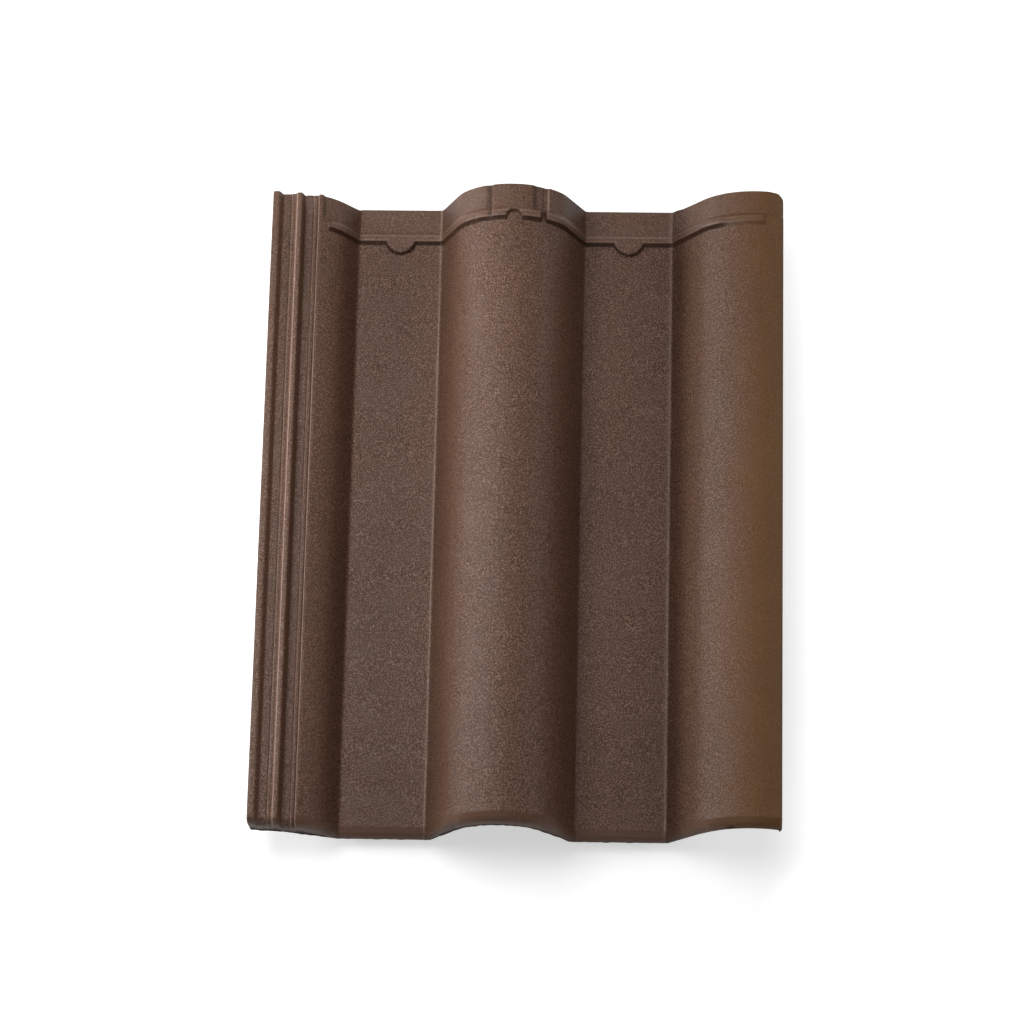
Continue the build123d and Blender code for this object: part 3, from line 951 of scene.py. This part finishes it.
def floor_material(studio):
    """A pale floor that the camera sees as white wherever no shadow falls."""
    material = bpy.data.materials.new("pale floor")
    tree = emptied(material)
    matt = add(tree, "ShaderNodeBsdfDiffuse", {"Color": (*studio.floor_colour, 1)})
    place = add(tree, "ShaderNodeTexCoord").outputs["Object"]
    aside = part_of(tree, place, "X").math("ABSOLUTE")
    tile_side, clear_of_it = 150 * MM, 200 * MM
    strength = aside.rise(tile_side, clear_of_it) * studio.side_lift + studio.floor_lift
    lift = add(tree, "ShaderNodeEmission", {"Color": (1, 1, 1, 1), "Strength": strength})
    both = add(tree, "ShaderNodeAddShader")
    put(tree, both.inputs[0], matt.outputs[0])
    put(tree, both.inputs[1], lift.outputs[0])
    path = add(tree, "ShaderNodeLightPath")
    mix = add(tree, "ShaderNodeMixShader", {"Fac": path.outputs["Is Camera Ray"]})
    put(tree, mix.inputs[1], matt.outputs[0])
    put(tree, mix.inputs[2], both.outputs[0])
    add(tree, "ShaderNodeOutputMaterial", {"Surface": mix.outputs[0]})
    return material


# Operators

class TILE_OT_body(bpy.types.Operator):
    """Build the pressed tile around its packed frame"""

    bl_idname = "roof_tile.body"
    bl_label = "Tile"

    def execute(self, context):
        scene = context.scene
        rolls, lock, relief = scene.tile_rolls, scene.tile_lock, scene.tile_relief
        mesh = scene.tile_mesh
        upper = upper_points(rolls, lock, mesh)
        under = under_points(rolls, lock, mesh, True)
        tail_under = under_points(rolls, lock, mesh, False)
        columns = column_places(rolls, relief, mesh, upper, under)
        rows = station_places(rolls, lock, relief, mesh)
        top = heights(upper, columns)
        section = point_object("section", [(x, 0, z) for x, z in zip(columns, top)], {
            "under": heights(under, columns), "tail_under": heights(tail_under, columns),
            "edge": highlight_shares(upper, columns, mesh.highlight_radius, lock.rib_1_width)})
        stations = point_object("stations", [(0, y, 0) for y in rows])
        angle, height, shift = rest_place(rolls, relief)
        pans = pan_feet(rolls)
        material = coated_concrete(scene.tile_finish)
        sizes = {
            "Width": rolls.width, "Length": rolls.length, "Thickness": rolls.thickness,
            "Left Rise": rolls.left_rise, "Right Rise": rolls.right_rise,
            "Left Pan Start": pans[0], "Left Pan End": pans[1],
            "Right Pan Start": pans[2], "Right Pan End": pans[3],
            "Tongue Start": lock.tongue_stop,
            "Groove Stop Top": lock.stop_top, "Groove Stop Left": lock.rib_2_left + lock.rib_2_width,
            "Groove Stop Right": lock.width, "Groove Stop Length": lock.stop_length,
            "Rest Angle": angle, "Rest Height": height, "Rest Shift": shift,
        }
        for item in relief.bl_rna.properties:
            if item.type == "FLOAT":
                sizes[item.name] = getattr(relief, item.identifier)
        modifier = section.modifiers.new("Swept Tile", "NODES")
        modifier.node_group = tile_tree(sizes)
        set_inputs(modifier, {
            **sizes, "Stations": stations, "Columns": len(columns), "Rows": len(rows), "Layers": mesh.layers,
            "Seed": mesh.seed, "Material": material})
        swept = plain_copy(section, "swept tile")
        cutter = self.cut_pits(scene, swept, angle, height, shift)
        tile = plain_copy(swept, "pressed_tile")
        tile.data.materials.clear()
        tile.data.materials.append(material)
        tile.data.polygons.foreach_set("material_index", np.zeros(len(tile.data.polygons), dtype=np.int32))
        tile.data.shade_smooth()
        tile.data.set_sharp_from_angle(angle=radians(40))
        for helper in (section, stations, swept, cutter):
            bpy.data.objects.remove(helper)
        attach(tile, BODY)
        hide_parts(NODE)
        return {"FINISHED"}

    def cut_pits(self, scene, swept, angle, height, shift):
        """Sinks the two nail pits into the underside, and gives back what cuts them."""
        rolls, relief, pits = scene.tile_rolls, scene.tile_relief, scene.tile_pits
        depth = rolls.thickness - pits.skin
        cutters = bmesh.new()
        taper = (pits.mouth_radius - pits.end_radius) / depth
        spare = 2 * MM
        for lobe in (relief.lobe_left, relief.lobe_right):
            middle = -rolls.thickness + (depth - spare) / 2
            stand = (Matrix.Translation((-rolls.width / 2, shift, -height)) @ Matrix.Rotation(angle, 4, "X")
                     @ Matrix.Translation((lobe, relief.lobe_place, middle)))
            bmesh.ops.create_cone(
                cutters, cap_ends=True, segments=pits.sides, radius1=pits.mouth_radius + taper * spare,
                radius2=pits.end_radius, depth=depth + spare, matrix=stand)
        data = bpy.data.meshes.new("pit cutters")
        cutters.to_mesh(data)
        cutters.free()
        cutter = placed("pit cutters", data)
        cut = swept.modifiers.new("Nail Pits", "BOOLEAN")
        cut.operation = "DIFFERENCE"
        cut.object = cutter
        cut.solver = "EXACT"
        return cutter


class TILE_OT_studio(bpy.types.Operator):
    """Set up the pale floor, the soft lamps and the camera"""

    bl_idname = "roof_tile.studio"
    bl_label = "Studio"

    def execute(self, context):
        scene = context.scene
        studio = scene.tile_studio
        scene.view_settings.view_transform = "Standard"
        half = studio.floor_size / 2
        data = bpy.data.meshes.new("floor")
        corners = [(-half, -half, 0), (half, -half, 0), (half, half, 0), (-half, half, 0)]
        data.from_pydata(corners, [], [(0, 1, 2, 3)])
        data.materials.append(floor_material(studio))
        placed("floor", data)
        aim = Vector((0, 0, 0.03))
        for name in LAMPS:
            light = bpy.data.lights.new(name + " lamp", "AREA")
            light.shape = "RECTANGLE"
            light.size, light.size_y = getattr(studio, name + "_size")
            light.energy = getattr(studio, name + "_power")
            lamp = placed(name + " lamp", light)
            lamp.location = getattr(studio, name + "_place")
            lamp.rotation_euler = (aim - lamp.location).to_track_quat("-Z", "Y").to_euler()
            lamp.visible_camera = False
        world = bpy.data.worlds.new("studio")
        tree = emptied(world)
        seen = Field(tree, add(tree, "ShaderNodeLightPath").outputs["Is Camera Ray"])
        strength = seen * (1.0 - studio.world_light) + studio.world_light
        light = add(tree, "ShaderNodeBackground", {"Color": (1, 1, 1, 1), "Strength": strength})
        add(tree, "ShaderNodeOutputWorld", {"Surface": light.outputs[0]})
        scene.world = world
        camera_data = bpy.data.cameras.new("camera")
        camera_data.lens = studio.lens
        camera_data.sensor_width = 36
        camera_data.clip_end = 20
        camera = placed("camera", camera_data)
        camera.location = studio.camera_place
        camera.rotation_euler = studio.camera_turn
        scene.camera = camera
        return {"FINISHED"}


class TILE_PT_panel(bpy.types.Panel):
    """Lists the steps that build the tile and its studio"""

    bl_idname = "TILE_PT_panel"
    bl_label = "Roof Tile"
    bl_space_type = "VIEW_3D"
    bl_region_type = "UI"
    bl_category = "Roof Tile"

    def draw(self, context):
        for step in OPERATORS:
            self.layout.operator(step.bl_idname)
        for group in GROUPS:
            box = self.layout.box()
            box.label(text=GROUPS[group].__doc__.split(".")[0])
            values = getattr(context.scene, group)
            for name in GROUPS[group].__annotations__:
                box.prop(values, name)


GROUPS = {
    "tile_rolls": RollSizes,
    "tile_lock": LockSizes,
    "tile_relief": ReliefSizes,
    "tile_pits": PitSizes,
    "tile_mesh": MeshSizes,
    "tile_finish": FinishValues,
    "tile_studio": StudioValues,
}
OPERATORS = (TILE_OT_body, TILE_OT_studio)
CLASSES = (*GROUPS.values(), *OPERATORS, TILE_PT_panel)


def register():
    for item in CLASSES:
        bpy.utils.register_class(item)
    for name, group in GROUPS.items():
        setattr(bpy.types.Scene, name, bpy.props.PointerProperty(type=group))


def unregister():
    for name in GROUPS:
        delattr(bpy.types.Scene, name)
    for item in reversed(CLASSES):
        bpy.utils.unregister_class(item)


def main():
    register()
    bpy.ops.roof_tile.body()
    bpy.ops.roof_tile.studio()


if __name__ == "__main__":
    main()
